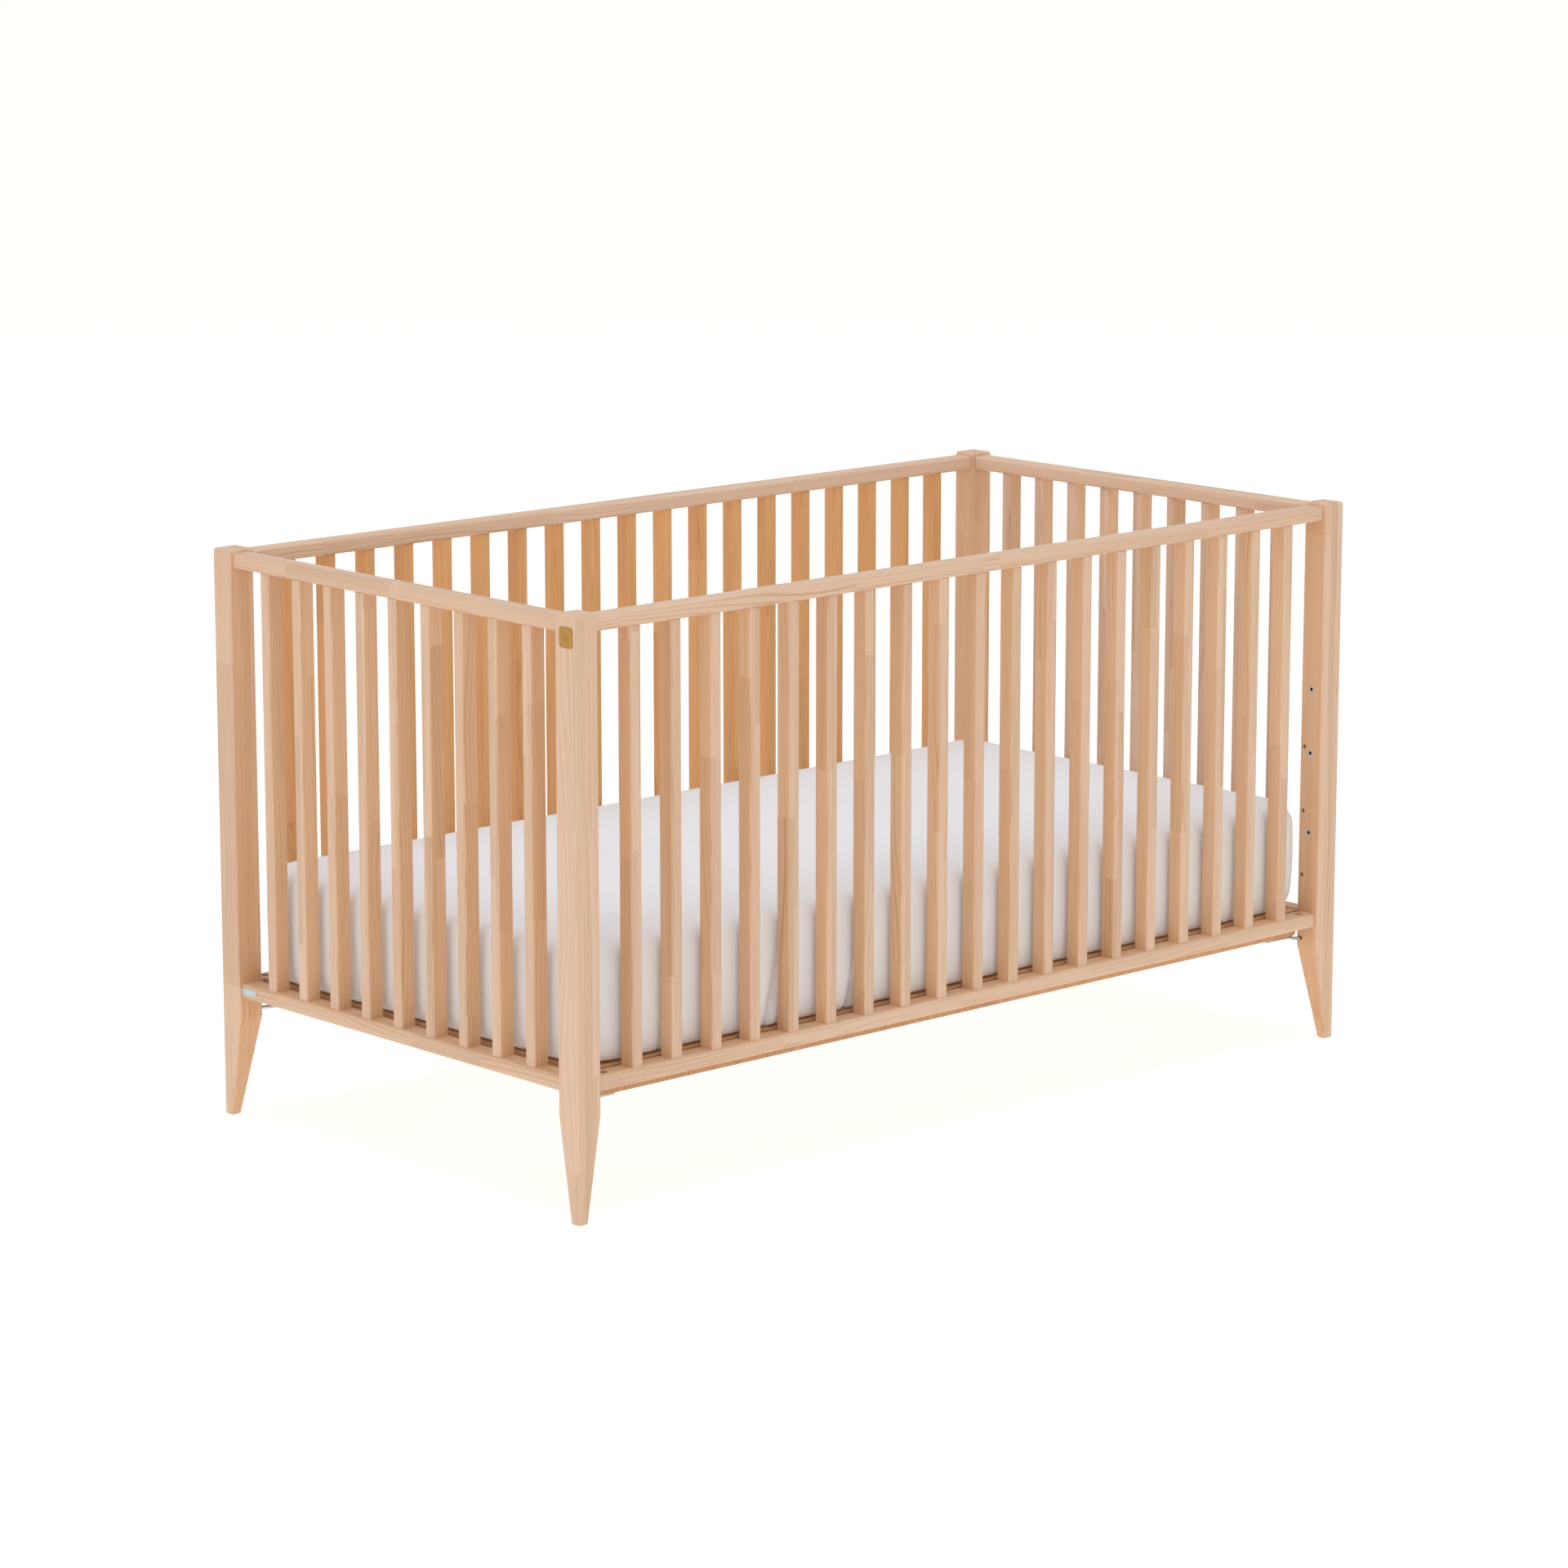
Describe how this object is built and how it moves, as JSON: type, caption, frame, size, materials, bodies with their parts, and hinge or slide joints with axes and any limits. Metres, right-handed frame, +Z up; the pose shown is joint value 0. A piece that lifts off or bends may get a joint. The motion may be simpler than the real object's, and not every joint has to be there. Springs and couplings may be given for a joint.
{
  "type": "baby crib",
  "caption": "Wooden baby crib with tapered corner posts, upright bars on all four sides, a height-adjustable slatted base on wire hooks, and a mattress.",
  "frame": {"origin": "on the floor, under the centre of the crib's length and width", "axes": "+X along the crib's length, from the left end to the right end; +Y across it, from the front long side to the back long side; +Z up"},
  "size_m": [1.48, 0.772, 0.81],
  "materials": {
    "post_wood": "satin",
    "rail_wood": "satin",
    "bar_wood": "satin",
    "base_wood": "matte",
    "slat_wood": "matte",
    "wire_steel": "satin",
    "sleeve_steel": "satin",
    "cam_zinc": "satin",
    "badge_brass": "satin",
    "label_grey": "satin",
    "mattress_cotton": "matte"
  },
  "bodies": {
    "frame": {"post_front_left": "post_wood", "post_front_right": "post_wood", "post_back_left": "post_wood", "post_back_right": "post_wood", "top_rail_front": "rail_wood", "top_rail_back": "rail_wood", "top_rail_left": "rail_wood", "top_rail_right": "rail_wood", "barred_side_front": "bar_wood", "barred_side_back": "bar_wood", "barred_end_left": "bar_wood", "barred_end_right": "bar_wood", "sleeve_front_left_1": "sleeve_steel", "sleeve_front_left_2": "sleeve_steel", "sleeve_front_left_3": "sleeve_steel", "sleeve_front_right_1": "sleeve_steel", "sleeve_front_right_2": "sleeve_steel", "sleeve_front_right_3": "sleeve_steel", "cam_bottom_front_left": "cam_zinc", "cam_bottom_front_right": "cam_zinc", "cam_bottom_back_left": "cam_zinc", "cam_bottom_back_right": "cam_zinc", "cam_top_front_left": "cam_zinc", "cam_top_front_right": "cam_zinc", "cam_top_back_left": "cam_zinc", "cam_top_back_right": "cam_zinc", "pin_bottom_front_left": "cam_zinc", "pin_bottom_front_right": "cam_zinc", "pin_bottom_back_left": "cam_zinc", "pin_bottom_back_right": "cam_zinc", "pin_top_front_left": "cam_zinc", "pin_top_front_right": "cam_zinc", "pin_top_back_left": "cam_zinc", "pin_top_back_right": "cam_zinc", "badge_plate": "badge_brass", "label_plate": "label_grey"},
    "slatted_base": {"base_side_front": "base_wood", "base_side_back": "base_wood", "base_end_left": "base_wood", "base_end_right": "base_wood", "base_ledger_front": "base_wood", "base_ledger_back": "base_wood", "base_slat_01": "slat_wood", "base_slat_02": "slat_wood", "base_slat_03": "slat_wood", "base_slat_04": "slat_wood", "base_slat_05": "slat_wood", "base_slat_06": "slat_wood", "base_slat_07": "slat_wood", "base_slat_08": "slat_wood", "base_slat_09": "slat_wood", "base_slat_10": "slat_wood", "base_slat_11": "slat_wood"},
    "mattress_body": {"mattress": "mattress_cotton"},
    "hook_body_front_left": {"hook_front_left": "wire_steel"},
    "hook_body_front_right": {"hook_front_right": "wire_steel"},
    "hook_body_back_left": {"hook_back_left": "wire_steel"},
    "hook_body_back_right": {"hook_back_right": "wire_steel"}
  },
  "joints": [
    {"name": "base_height", "type": "slide", "parent": "frame", "child": "slatted_base", "axis": [0, 0, 1], "range_m": [0, 0.291]},
    {"name": "mattress_lift", "type": "slide", "parent": "slatted_base", "child": "mattress_body", "axis": [0, 0, 1], "range_m": [0, 0.62]},
    {"name": "hook_pull_front_left", "type": "slide", "parent": "frame", "child": "hook_body_front_left", "axis": [1, 0, 0], "range_m": [0, 0.026]},
    {"name": "hook_pull_front_right", "type": "slide", "parent": "frame", "child": "hook_body_front_right", "axis": [-1, 0, 0], "range_m": [0, 0.026]},
    {"name": "hook_pull_back_left", "type": "slide", "parent": "frame", "child": "hook_body_back_left", "axis": [1, 0, 0], "range_m": [0, 0.026]},
    {"name": "hook_pull_back_right", "type": "slide", "parent": "frame", "child": "hook_body_back_right", "axis": [-1, 0, 0], "range_m": [0, 0.026]}
  ]
}
